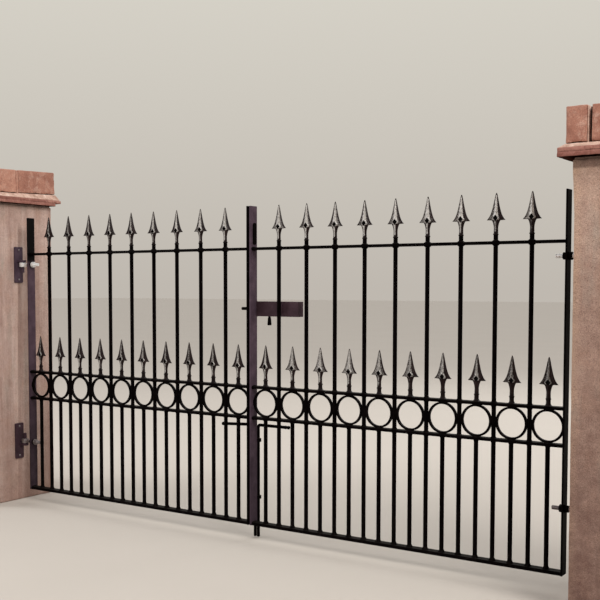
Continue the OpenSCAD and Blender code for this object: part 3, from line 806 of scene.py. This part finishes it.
def finial(c, yaw=0.0, lean=0.0, worn_sheen=(0.9, 0.3, 0.3, 0.6), side=1):
    """Two-sided cast spear head on its neck: central ridge, hollow flanks, raised rims, and a diamond pit above the neck."""
    half = 12
    front = []
    for z in ROWS:
        barb = z == "barb"
        zz = 75.2 if barb else z
        head = barb or z > 73
        w = 31.6 if barb else table_curve(HEAD_W if head else NECK_W, zz)
        ridge = table_curve(RIDGE, zz)
        k = min(1.0, w / 9)
        raw = max(0.0, PIT_W * (1 - abs(zz - PIT_Z) / PIT_H))
        pit = smooth(raw / 1.8)
        xw = raw + 0.35 * k
        x5 = xw + 2.6 * k
        xs = [0, 0.5 * xw, 0.80 * xw, xw, xw + 1.1 * k, x5] + [x5 + (w - x5) * f for f in (0.18, 0.36, 0.54, 0.70, 0.84, 0.94, 1.0)]
        tip = smooth((zz - 73) / 87)
        if head:
            sect = [(0, ridge), (0.10, ridge * 0.90), (0.30, ridge * 0.60), (0.48, ridge * 0.41), (0.62, ridge * 0.36), (0.80, ridge * 0.50),
                    (0.90, ridge * 0.52), (1.0, 1.7 * (1 - tip) + 0.55 * tip)]
        else:
            sect = [(0, ridge), (0.12, ridge * 0.95), (0.45, ridge * 0.66), (0.75, ridge * 0.50), (0.92, ridge * 0.42), (1.0, ridge * 0.26)]
        ys = [table_curve(sect, x / w) for x in xs]
        target = [1.7, 1.7, 2.0, 8.0, 8.25, max(ys[5], 6.2)]
        for i, t in enumerate(target):
            ys[i] += (t - ys[i]) * pit
        row = []
        for x, y in zip(xs, ys):
            drop = 0.0
            if barb:
                drop = -2.2 * (x / w) ** 1.3
            f = x / w
            spine, flanks, neck = worn_sheen[0], worn_sheen[1:3], worn_sheen[3]
            both = []
            for s in (-1, 1):
                flank = flanks[0 if s < 0 else 1]
                # painted shade: the floor of the pit stays dark
                if pit > 0.2 and x <= xw + 0.01:
                    wear_sheen = 0.0 if x < xw * 0.9 else min(0.45, spine - 0.1)
                elif head:
                    # painted highlight: the spine's value spreads over the upper head, fading towards the outer edges
                    # and the tip
                    top = smooth((zz - 76) / 10)
                    wear_sheen = flank + (spine - flank) * smooth((0.46 - f) / 0.22) * (0.25 + 0.75 * top)
                    wear_sheen = 0.20 + (wear_sheen - 0.20) * smooth((0.93 - f) / 0.14)
                    if pit > 0.05 and x <= x5 + 1.5 * k:      # the rubbed rim of the pit, also a painted highlight
                        wear_sheen = max(wear_sheen, 0.38 + 0.40 * spine)
                    wear_sheen = min(wear_sheen, 0.25 + 0.7 * smooth((160.5 - zz) / 14))
                else:
                    # painted highlight: the rubbed band reaches further across the neck on one side
                    lit_reach = 0.70 if s * side < 0 else 0.42
                    wear_sheen = 0.20 + (neck - 0.20) * smooth((lit_reach - f) / 0.25) * smooth((zz - 31) / 6)
                both.append(wear_sheen)
            row.append((x, y, zz + drop, both))
        front.append(row)
    cols = 2 * half + 1
    verts, faces, wear_sheens = [], [], []
    turn = Matrix.Rotation(yaw, 3, "Z") @ Matrix.Rotation(lean, 3, "Y")
    c = Vector(c)

    def put(x, y, z, wear_sheen=0.18):
        verts.append(c + turn @ Vector((x, y, z)))
        wear_sheens.append(wear_sheen)

    for sign in (-1, 1):
        for row in front:
            for j in range(-half, half + 1):
                x, y, z, wear_sheen = row[abs(j)]
                put(math.copysign(x, j) if j else 0.0, sign * y, z, wear_sheen[0] if j < 0 else wear_sheen[1] if j > 0 else max(wear_sheen))
    n = len(front)
    back = n * cols
    edge = 2 * n * cols
    for j in (-1, 1):
        for row in front:
            x, y, z, _ = row[half]
            put(j * (x + 0.4), 0.0, z)
    for r in range(n - 1):
        for k in range(cols - 1):
            a = r * cols + k
            faces.append((a, a + 1, a + cols + 1, a + cols))
            b = back + a
            faces.append((b, b + cols, b + cols + 1, b + 1))
        f0, f1 = r * cols, (r + 1) * cols
        e0, e1 = edge + r, edge + r + 1
        faces += [(f0, f1, e1, e0), (e0, e1, back + f1, back + f0)]
        g0, g1 = f0 + cols - 1, f1 + cols - 1
        h0, h1 = edge + n + r, edge + n + r + 1
        faces += [(g0, h0, h1, g1), (h0, back + g0, back + g1, h1)]
    for r in (0, n - 1):
        loop = [r * cols + k for k in range(cols)] + [edge + n + r] + [back + r * cols + k for k in reversed(range(cols))] + [edge + r]
        faces.append(tuple(loop if r else reversed(loop)))
    return verts, faces, wear_sheens


def knop(c):
    return lathe([(0, 24.4), (6.9, 24.4), (8.1, 24.9), (8.8, 26.0), (9.0, 27.4), (8.8, 28.8), (7.9, 30.0), (6.5, 30.7), (4.7, 31.3), (0, 31.3)], 24, c)


# ---------------------------------------------------------------- one leaf
def build_leaf(side):
    name = "right" if side > 0 else "left"
    body = name + "_leaf"
    rnd = random.Random(7 + side)

    def piece(tail):
        return Piece(f"{name}_{tail}", body, side)

    # stiles
    p = piece("hinge_stile_bar")
    p.add(*slab(X_OUT, X_OUT + 6, -20, 20, -6, 1204, 1.3, 3))
    # the left hinge stile's paint has a painted sheen, black above the top rail as in shade
    p.make([SHEEN_PAINT_LOW if side < 0 else IRON], "painted_iron", [f"{name}_hinge_stile"])
    p = piece("meeting_stile_bar")
    p.add(*slab(X_IN - 8, X_IN, -20, 20, -6, 1204, 1.3, 3))
    # the right meeting stile's paint has a painted sheen
    p.make([IRON if side < 0 else SHEEN_PAINT], "painted_iron", [f"{name}_meeting_stile"])

    # rails, with the welds that hold them to the stiles
    def end_welds(p, z, t, d):
        for x, nx in ((X_IN, 1), (X_OUT, -1)):
            for s in (1, -1):
                p.add(*bead((x + nx * 0.3, -d + 1.5, z + s * t / 2), (x + nx * 0.3, d - 1.5, z + s * t / 2), (nx, 0, s), 6.0, 2.6, 8, 20, 8, rnd.random()))
            for s in (1, -1):
                p.add(*bead((x + nx * 0.3, s * d, z - t / 2 + 0.5), (x + nx * 0.3, s * d, z + t / 2 - 0.5), (nx, s, 0), 5.0, 2.2, 8, 8, 2, rnd.random()))

    p = piece("top_rail_bar")
    p.add(*slab(X_IN - 0.5, X_OUT + 0.5, -15, 15, TOP - 5, TOP + 5, 1.3, 3))
    for x in TALL_X:
        prof = [(12.0, 0), (12.0, 5.2), (11.7, 6.2), (10.8, 7.2), (9.6, 8.1), (8.5, 8.8), (7.6, 9.1), (6.6, 9.2)]
        p.add(*lathe([(0, -9.2)] + [(r, -h) for r, h in reversed(prof)] + prof[1:] + [(0, 9.2)], 28, (x, 0, TOP)))
    end_welds(p, TOP, 10, 15)
    p.make([IRON], "painted_iron", [f"{name}_top_rail"])
    for tail, z in (("upper_band_rail", BAND_UP), ("lower_band_rail", BAND_LOW)):
        p = piece(tail + "_bar")
        p.add(*slab(X_IN - 0.5, X_OUT + 0.5, -15, 15, z - 5, z + 5, 1.3, 3))
        for x in TALL_X:
            for up in (1, -1):
                p.add(*weld_ring((x, 0, z + 5 * up), 7.5, 10.8, 4.6, up, 20, rnd.random()))
        end_welds(p, z, 10, 15)
        p.make([IRON], "painted_iron", [f"{name}_{tail}"])
    p = piece("bottom_rail_bar")
    p.add(*slab(X_IN - 0.5, X_OUT + 0.5, -16, 16, -6, 6, 1.4, 3))
    for x in TALL_X + RING_X:
        p.add(*weld_ring((x, 0, 6), 7.5, 12.2, 8.5, 1, 22, rnd.random()))
    end_welds(p, 0, 12, 16)
    p.make([IRON], "painted_iron", [f"{name}_bottom_rail"])

    # bars
    p = piece("tall_round_bars")
    for x in TALL_X:
        p.add(*lathe([(0, 5.0), (7.5, 5.0), (7.5, 300), (7.5, 620), (7.5, 1068.5), (6.4, 1069), (0, 1069)], 24, (x, 0, 0)))
    p.make([IRON], "painted_iron", [f"{name}_tall_bars"])
    p = piece("dog_round_bars")
    for x in RING_X:
        p.add(*lathe([(0, 5.0), (7.5, 5.0), (7.5, 200), (7.5, 400.1), (0, 400.1)], 24, (x, 0, 0)))
        p.add(*weld_ring((x, 0, 399.5), 7.5, 10.6, 4.6, -1, 20, rnd.random()))
    p.make([IRON], "painted_iron", [f"{name}_dog_bars"])

    # rings, welded to the rails and bars that they touch
    p = piece("ring_band")
    mid = (BAND_UP + BAND_LOW) / 2
    for x in RING_X:
        p.add(*ring_bar((x, 0, mid), 53.6, 46.4, 12))
        for s in (1, -1):
            for y in (1, -1):
                p.add(*bead((x - 11, y * 6.2, mid + s * 53.3), (x + 11, y * 6.2, mid + s * 53.3), (0, y, -0.4 * s), 6.0, 3.0, 8, 14, 5, rnd.random()))
                p.add(*bead((x + s * 53.5, y * 5.2, mid - 11), (x + s * 53.5, y * 5.2, mid + 11), (0, y, 0), 6.4, 3.2, 8, 14, 5, rnd.random()))
    p.make([IRON], "painted_iron", [f"{name}_rings"])

    # finials
    p = piece("top_spear_heads")
    for x in TALL_X:
        at = (x, 0, TOP)
        p.add(*finial(at, math.radians(rnd.uniform(-1.6, 1.6)), math.radians(rnd.uniform(-0.35, 0.35)), wear_sheen_at(TOP_WEAR_SHEEN, x, side, rnd), side))
        p.add(*knop(at), tint=0.08)
    p.make([SPEAR], "painted_iron", [f"{name}_top_finials"], angle=50, weighted=False)
    p = piece("dog_spear_heads")
    for x in RING_X:
        at = (x, 0, BAND_UP)
        p.add(*finial(at, math.radians(rnd.uniform(-1.6, 1.6)), math.radians(rnd.uniform(-0.35, 0.35)), wear_sheen_at(DOG_WEAR_SHEEN, x, side, rnd), side))
        p.add(*knop(at), tint=0.08)
        p.add(*lathe([(0, 4.6), (14.0, 4.6), (13.9, 5.6), (12.8, 6.4), (11.0, 7.4), (9.4, 8.9), (8.4, 10.8), (7.8, 12.8), (7.5, 15.0), (7.5, 24.8), (0, 24.8)], 28, at), tint=0.08)
    p.make([SPEAR], "painted_iron", [f"{name}_dog_finials"], angle=50, weighted=False)

    # eye bolts
    end = X_OUT - (36.5 if side > 0 else 44.5)
    off = 0.0 if side > 0 else 7.0
    for where, z in (("upper", 998.0), ("lower", 206.0)):
        p = piece(f"{where}_eye_bolt_zinc")
        eye = round_rect(7.05, 15, -10, 10, (1.2, 2.6, 2.6, 1.2), 4)
        p.add(*turned_loop(eye, 48, (PIN_X, 0, z)))
        p.add(*lathe([(0, 1240), (7, 1240), (7, 1252), (7.6, 1256), (9.6, 1259.4), (0, 1259.6)], 32, (0, 0, z), 0))
        p.add(*thread(end, 1241, 7.0, 0.9, 2.0, (0, z), 30, 0.5))
        dark = 1 if side > 0 else 0                # the right nuts are painted over
        p.add(*hex_nut(X_OUT - off - 12, 10.6, 22, 6.6, (0, z), 48, rnd.uniform(0, 1)), mat=dark)
        p.add(*hex_nut(X_OUT + 7.4, 10.6, 22, 6.6, (0, z), 48, rnd.uniform(0, 1)), mat=1)
        for x0 in (X_OUT - off - 1.5, X_OUT + 6):
            p.add(*turned_loop(round_rect(6.6, 12.4, x0, x0 + 1.5, (0.3,) * 4, 1), 40, (0, 0, z), 0), mat=dark)
        if off:
            p.add(*turned_loop(round_rect(6.6, 12.0, X_OUT - off, X_OUT + 0.2, (0.8,) * 4, 2), 40, (0, 0, z), 0), mat=1)
        p.make([DULL if where == "lower" else ZINC, IRON], "zinc", [f"{name}_{where}_eye_bolt"])

    # drop bolt guides, welded behind the meeting stile
    p = Piece(f"{name}_bolt_guide_eyes", body, 1, False)
    p.add(*softened(f"{name}_bolt_guides", 1.6, 3))
    for z in ((95, 315) if side > 0 else (70, 290)):
        for s in (1, -1):
            p.add(*bead((side * 3.6, 35.2, 62 + z + s * 7), (side * 10.2, 35.2, 62 + z + s * 7), (0, 0.3, s), 4.0, 1.8, 8, 10, 4, rnd.random()))
    p.make([IRON], "painted_iron", [f"{name}_bolt_guides"])

    # drop bolt: the left one's handle droops a little
    p = Piece(f"{name}_drop_bolt_rod", f"{name}_drop_bolt", side)
    r, bend = 6.0, 9.0
    reach, droop = (140.0, 0.0) if side > 0 else (154.0, math.radians(3))
    path = [(DROP_X, ROD_Y, z) for z in (-59, -58.2, -56, 100, 250, DROP_TOP - bend - 4)]
    radii = [3.6, 4.8, r, r, r, r]
    last = math.radians(90) + droop
    for i in range(14):
        a = last * i / 13
        path.append((DROP_X + bend - bend * math.cos(a), ROD_Y, DROP_TOP - bend + bend * math.sin(a)))
        radii.append(r)
    start = Vector(path[-1])
    ahead = Vector((math.cos(droop), 0, -math.sin(droop)))
    path += [tuple(start + ahead * 40), tuple(start + ahead * (reach - bend - 9))]
    radii += [r, r]
    p.add(*tube(path, radii, 24))
    tip = start + ahead * (reach - bend)
    turn = Matrix.Rotation(droop, 3, "Y")
    knob = [(0, -15.5), (6, -15.5), (6.6, -14.2), (6.7, -12.4), (6.5, -10.6), (5.6, -8.2), (4.9, -6.8)]
    knob += [(7 * math.cos(math.radians(t)), 7 * math.sin(math.radians(t))) for t in range(-48, 90, 12)] + [(0, 7)]
    verts, faces = lathe(knob, 28, (0, 0, 0), 0)
    p.add([tip + turn @ Vector(q) for q in verts], faces)
    p.make([IRON], "painted_iron", [f"{name}_drop_bolt"])


for s in (-1, 1):
    build_leaf(s)


# ---------------------------------------------------------------- fastenings at the middle
def build_fastenings():
    p = Piece("latch_case_body", "right_leaf", 1, False)
    p.add(*softened("latch_case", 1.8, 3))
    y_back, zc = 63.0, 62 + LATCH_Z
    p.add(*plate(round_rect(17, 197, zc - 23, zc + 23, (4, 4, 4, 4)), y_back - 1, y_back + 1.2, 1, 0.7, 2))
    for x in (26, 188):
        for z in (zc - 15, zc + 15):
            head = [(0, 0.5), (4.6, 0.5), (4.5, 1.6), (3.7, 2.7), (2.2, 3.3), (0, 3.5)]
            p.add(*lathe(head, 24, (x, y_back, z), 1))
    for s in (1, -1):
        p.add(*bead((11.4, 30, zc + s * 27.4), (11.4, 35, zc + s * 27.4), (-1, 0, s), 5.5, 2.4, 8, 12, 3, 3 + s))
    p.add(*bead((11.4, 35.2, zc - 22), (11.4, 35.2, zc + 22), (-1, 1, 0), 5.0, 2.2, 8, 24, 12, 9))
    for x in TALL_X[:1]:
        for s in (1, -1):
            p.add(*bead((x + s * 3.6, 25.6, zc - 20), (x + s * 3.6, 25.6, zc + 20), (s, 0, 0), 8.4, 3.4, 8, 24, 11, 11 + s))
    # the latch case's paint has a dim painted sheen
    p.make([WORN_SHEEN], "painted_iron", ["latch_case"])

    p = Piece("latch_bolt_rod", "latch_bolt", 1)
    p.add(*lathe([(0, -69), (4.6, -69), (5.5, -68.3), (6, -67), (6, 0), (6, 60), (6, 70.6), (5.2, 72), (0, 72)], 28, (0, ROD_Y, LATCH_Z), 0))
    p.add(*lathe([(0, -38), (4.5, -38), (4.5, 0), (0, 0)], 24, (KNOB_X, ROD_Y, LATCH_Z)))
    grip = [(0, -62), (5.6, -62), (7.2, -61.4), (8.0, -59.8), (8.0, -57.6), (7.5, -52), (6.9, -45), (6.3, -37.4), (6.0, -34), (5.4, -32.6), (4.2, -32), (0, -32)]
    p.add(*lathe(grip, 28, (KNOB_X, ROD_Y, LATCH_Z)))
    p.make([IRON], "painted_iron", ["latch_bolt"])

    p = Piece("latch_keeper_eye", "left_leaf", 1, False)
    p.add(*softened("latch_keeper", 1.4, 3))
    for s in (1, -1):
        p.add(*bead((-10.0, 35.2, 62 + LATCH_Z + s * 14), (-3.8, 35.2, 62 + LATCH_Z + s * 14), (0, 0.4, s), 5.0, 2.2, 8, 10, 3, 5 + s))
    p.make([IRON], "painted_iron", ["latch_keeper"])

    p = Piece("stop_plate_bar", "right_leaf", 1)
    p.add(*plate(round_rect(-8, 12.5, 1060, 1141, (6, 6, 7, 7)), X_IN, X_IN + 3, 0, 0.8, 2))
    for y, ny in ((-7.6, -1), (12.1, 1)):
        p.add(*bead((X_IN + 0.5, y, 1072), (X_IN + 0.5, y, 1128), (1, ny, 0), 3.0, 1.2, 8, 22, 12, 4 + ny))
    p.make([IRON], "painted_iron", ["stop_plate"])


build_fastenings()


# ---------------------------------------------------------------- hinge brackets on the piers
def build_bracket(side, where):
    """Wall plate, lug and pin. The upper pin points down out of its eye and the lower one up."""
    name = "right" if side > 0 else "left"
    z, up, mid = (998.0, -1, -4.0) if where == "upper" else (206.0, 1, -13.0)
    face = FACE[side]
    rnd = random.Random(f"{name}{where}")
    p = Piece(f"{name}_{where}_hinge_plate", "piers", side)
    p.add(*plate(round_rect(mid - 23.5, mid + 23.5, z - 80, z + 80, (5, 5, 5, 5)), face - 6, face, 0, 1.1, 3))
    a, b = sorted((z - up * 11, z - up * 21))
    lug = [(PIN_X + 15 * math.cos(math.radians(t)), 15 * math.sin(math.radians(t))) for t in range(90, 271, 9)] + [(face - 4.5, -15), (face - 4.5, 15)]
    p.add(*plate(lug, a, b, 2, 1.2, 3))
    e = [(7, -12), (7, 33.4), (6.4, 34.4), (5.0, 35)]
    pin = [(r, z + up * h) for r, h in e]
    p.add(*lathe([(0, pin[0][1])] + pin + [(0, pin[-1][1])], 32, (PIN_X, 0, 0)))
    for zz, s in ((a, -1), (b, 1)):
        p.add(*bead((face - 6.4, -14, zz), (face - 6.4, 14, zz), (-1, 0, s), 6.5, 2.8, 8, 16, 7, rnd.random()))
    # painted sheen on the brackets' paint, dimmer on the lower ones
    p.make([SHEEN_PAINT if where == "upper" else WORN_SHEEN], "painted_iron", [f"{name}_{where}_hinge_bracket"])
    p = Piece(f"{name}_{where}_hinge_screws", "piers", side)
    for dz in (-66, 66):
        head = [(0, -5.6), (4.6, -5.8), (4.6, -6.8), (4.2, -8.1), (3.3, -9.1), (1.9, -9.7), (0, -9.9)]
        p.add(*lathe([(r, face + h) for r, h in head], 28, (0, mid + rnd.uniform(-1, 1), z + dz), 0))
    p.make([DULL], "zinc")


for s in (-1, 1):
    for where in ("upper", "lower"):
        build_bracket(s, where)


# ---------------------------------------------------------------- piers
def build_pier(side):
    name = "right" if side > 0 else "left"
    rnd = random.Random(40 + side)
    face = FACE[side]

    def uneven(q):
        """The right pier's inner face swells out under the tiles."""
        if side < 0 or q.x > face + 30:
            return q
        hollow = -0.8
        swell = 6.0 * smooth((q.z - 1145) / 180)
        return Vector((q.x + (hollow - swell) * (1 - (q.x - face) / 30), q.y, q.z))

    p = Piece(f"{name}_rendered_pier", "piers", side, False)
    p.add(*stone(face, 1720, -210, 210, 0, 1327.5, 10, 4.0, 1.3, 3 + side, 1.5, 0.012, uneven))
    p.add(*slab(face + 5 - (7 if side > 0 else 0), 1715, -205, 205, 1322, 1333, 1.0, 1))
    p.make([RENDER[side]], "render", [f"{name}_pier"], angle=80, weighted=False)

    # two courses of tiles, bedded in mortar, under a mortar fillet
    cx = 1510.0
    dx, dy = (-6.0, 0.0) if side > 0 else (0.0, 8.0)      # the copings don't sit quite centrally
    p = Piece(f"{name}_creasing_tiles", "piers", side, False)

    def split(cuts):
        return list(zip(cuts, cuts[1:]))

    lower = [-243, -81, 81, 243]
    upper = [-243, -162, 0, 162, 243]
    short = [-243, -81, 81, 211] if side < 0 else lower      # the left pier's lower course stops flush at the back
    for z0, z1, xs, ys in ((1332.0, 1345.2, lower, short), (1346.6, 1360.0, upper, upper)):
        for xa, xb in split(xs):
            for ya, yb in split(ys):
                if abs(xa) < 243 and abs(xb) < 243 and ya > ys[0] and yb < ys[-1]:
                    continue
                e = [rnd.uniform(0, 1.2) for _ in range(4)]
                a = xa + (e[0] if xa == -243 else 0.9)
                b = xb - (e[1] if xb == 243 else 0.9)
                c = ya + (e[2] if ya == ys[0] else 0.9)
                d = yb - (e[3] if yb == ys[-1] else 0.9)
                t0, t1 = z0 + rnd.uniform(0, 0.4), z1 - rnd.uniform(0, 0.5)
                p.add(*stone(cx + a, cx + b, c, d, t0, t1, 9, 2.2, 0.9, rnd.randrange(900), 1.8, 0.05), tint=rnd.random())
    p.make([TILE], "creasing_tile", [f"{name}_tile_course"], angle=70, weighted=False)

    def slope(q):
        t = smooth((q.z - 1358.5) / 17.5) * 0.9 + 0.1 * (q.z - 1358.5) / 17.5
        k = 1 - t * (1 - 221.0 / 240.0)
        y, z = q.y * k + dy * t, q.z
        crest = 1372.0 if side > 0 else 1372.6 + (min(220.0, max(-220.0, y - dy)) + 220) * math.tan(LEAN)
        z = 1358.5 + (z - 1358.5) * (crest - 1358.5) / 17.5
        return Vector((cx + dx * t + (q.x - cx) * k, y, z))

    def settle(q):
        """The left coping, sunk 3 mm at its front edge and leaning forwards."""
        if side > 0:
            return Vector((q.x + dx, q.y, q.z - 4.2 * max(0.0, 1 - (q.z - 1374) / 100)))      # bedded a little deeper
        y, z = q.y + 220, q.z - 1376
        return Vector((q.x, dy - 220 + y * math.cos(LEAN) - z * math.sin(LEAN), 1373 + y * math.sin(LEAN) + z * math.cos(LEAN)))

    p = Piece(f"{name}_mortar_bed", "piers", side, False)
    p.add(*stone(cx - 241.3, cx + 241.3, -241.3, 209.3 if side < 0 else 241.3, 1333.2, 1346.4, 14, 1.0, 0.8, 5, 0, 0.06), mat=1)
    p.add(*stone(cx - 241.3, cx + 241.3, -241.3, 241.3, 1345.4, 1359.2, 14, 1.0, 0.8, 6, 0, 0.06), mat=1)
    p.add(*stone(cx - 240, cx + 240, -240, 240, 1358.5, 1376.0, 9, 2.0, 1.4, 11, 1.5, 0.035, slope))
    # joint core painted dark as shade in the recessed joints between the bricks, pointed where the mortar still holds
    p.add(*stone(cx - 205, cx + 205, -196, 196, 1374, 1474, 14, 1.5, 1.5, 13, 0, 0.05, settle), mat=2)
    for i in range(5):
        a = cx - 155 + 75 * i
        for ya, yb in ((-218.6, -190), (190, 218.6)):
            p.add(*stone(a - 0.5, a + 2.0, ya, yb, 1375, 1475.5, 5, 0.8, 0.5, 20 + i, 0, 0.05, settle), mat=0)
    for xa, xb in ((-218.6, -190), (190, 218.6)):
        p.add(*stone(cx + xa, cx + xb, -5.6, 5.6, 1375, 1475.5, 5, 1.0, 0.6, 31, 0, 0.05, settle), tint=0.5, mat=3 if side < 0 else 0)
    p.make([MORTAR, TILE, JOINT_SHADE, BRICK], None, (), angle=70, weighted=False)

    # bricks on edge, six across and two along
    p = Piece(f"{name}_coping_bricks", "piers", side, False)
    for i in range(6):
        for j in range(2):
            a = cx - 220 + 75 * i + rnd.uniform(0, 1.0)
            b = cx - 220 + 75 * i + 65 - rnd.uniform(0, 1.0)
            c = -220 + 225 * j + rnd.uniform(0, 2.0)
            d = -220 + 225 * j + 215 - rnd.uniform(0, 2.0)
            z0, z1 = 1376.0, 1478.5 - rnd.uniform(0, 1.2)
            shade = {(-1, 0, 0): 0.58, (-1, 0, 1): 0.37, (1, 0, 0): 0.40, (1, 1, 0): 0.34}.get((side, i, j), rnd.random())
            p.add(*stone(a, b, c, d, z0, z1, 8.5, 4.4, 1.3, rnd.randrange(900), 3.6, 0.035, settle), tint=shade)
    p.make([BRICK], "coping_brick", [f"{name}_coping"], angle=70, weighted=False)


for s in (-1, 1):
    build_pier(s)


# ---------------------------------------------------------------- stage
def build_stage():
    mesh = bpy.data.meshes.new("floor")
    mesh.from_pydata([(-60, -60, 0), (60, -60, 0), (60, 60, 0), (-60, 60, 0)], [], [(0, 1, 2, 3)])
    mesh.materials.append(floor_material())
    floor = bpy.data.objects.new("floor", mesh)
    floor.location.z = -0.0002
    bpy.context.scene.collection.objects.link(floor)

    world = bpy.data.worlds.new("studio")
    world.use_nodes = True
    bpy.context.scene.world = world
    t = world.node_tree
    back = t.nodes["Background"]
    co = t.nodes.new("ShaderNodeTexCoord")
    sep = t.nodes.new("ShaderNodeSeparateXYZ")
    t.links.new(co.outputs["Generated"], sep.inputs[0])
    ramp = t.nodes.new("ShaderNodeValToRGB")
    e = ramp.color_ramp.elements
    e[0].position, e[0].color = 0.0, (0.52, 0.48, 0.43, 1)
    e[1].position, e[1].color = 0.30, (0.68, 0.65, 0.58, 1)
    high = e.new(0.95)
    high.color = (0.95, 0.96, 0.98, 1)
    t.links.new(sep.outputs[2], ramp.inputs[0])
    t.links.new(ramp.outputs[0], back.inputs[0])
    back.inputs[1].default_value = 1.0

    def area(name, place, at, size, power, colour=(1, 1, 1)):
        data = bpy.data.lights.new(name, "AREA")
        data.shape, data.size, data.energy, data.color = "DISK", size, power, colour
        o = bpy.data.objects.new(name, data)
        o.location = place
        o.rotation_mode = "QUATERNION"
        o.rotation_quaternion = (Vector(at) - Vector(place)).to_track_quat("-Z", "Y")
        bpy.context.scene.collection.objects.link(o)

    area("key", (6.0, -2.9, 5.6), (0, 0, 0.8), 3.4, 330, (1.0, 0.97, 0.93))
    area("fill", (-5.6, -3.4, 2.4), (0, 0, 0.9), 3.0, 170, (0.98, 0.98, 1.0))
    area("rim", (0.5, 5.5, 4.2), (0, 0, 0.9), 3.4, 110, (1.0, 1.0, 1.0))


build_stage()
bpy.context.scene.view_settings.view_transform = "Standard"
